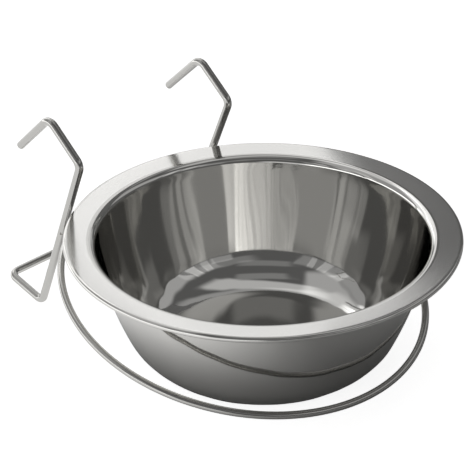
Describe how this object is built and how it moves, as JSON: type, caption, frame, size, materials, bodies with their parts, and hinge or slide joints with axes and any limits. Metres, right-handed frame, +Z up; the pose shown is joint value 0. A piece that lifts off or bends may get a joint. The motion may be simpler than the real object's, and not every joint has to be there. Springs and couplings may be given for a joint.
{
  "type": "hanging feed bowl",
  "caption": "Round steel feed bowl with a wide flat rim, and a bent wire holder: a ring that carries the rim, welded to a bracket with cage hooks and a stand-off foot.",
  "frame": {"origin": "middle of the bowl's flat base, on the surface that the bowl stands on", "axes": "+Z up along the bowl's axis; +Y from the bowl towards the cage, the side of the hooks and the foot; +X along the cage wires that the hooks hang on"},
  "size_m": [0.16, 0.1975, 0.0947],
  "materials": {
    "polished_sheet": "stainless sheet, mirror-polished inside and out, with a spun, finely ringed flange",
    "bright_wire": "bright drawn steel wire, lightly polished",
    "weld_metal": "cleaned spot weld, duller than the wire"
  },
  "bodies": {
    "bowl": {"bowl": "polished_sheet"},
    "holder": {"carrier_ring": "bright_wire", "hook_bracket": "bright_wire", "left_leg_weld": "weld_metal", "right_leg_weld": "weld_metal", "ring_seam_weld": "weld_metal"}
  },
  "joints": [
    {"name": "holder_swing", "type": "hinge", "parent": "bowl", "child": "holder", "pos_m": [0, 0.1095, 0.06581], "axis": [-1, 0, 0], "range_deg": [0, 13.5]}
  ]
}
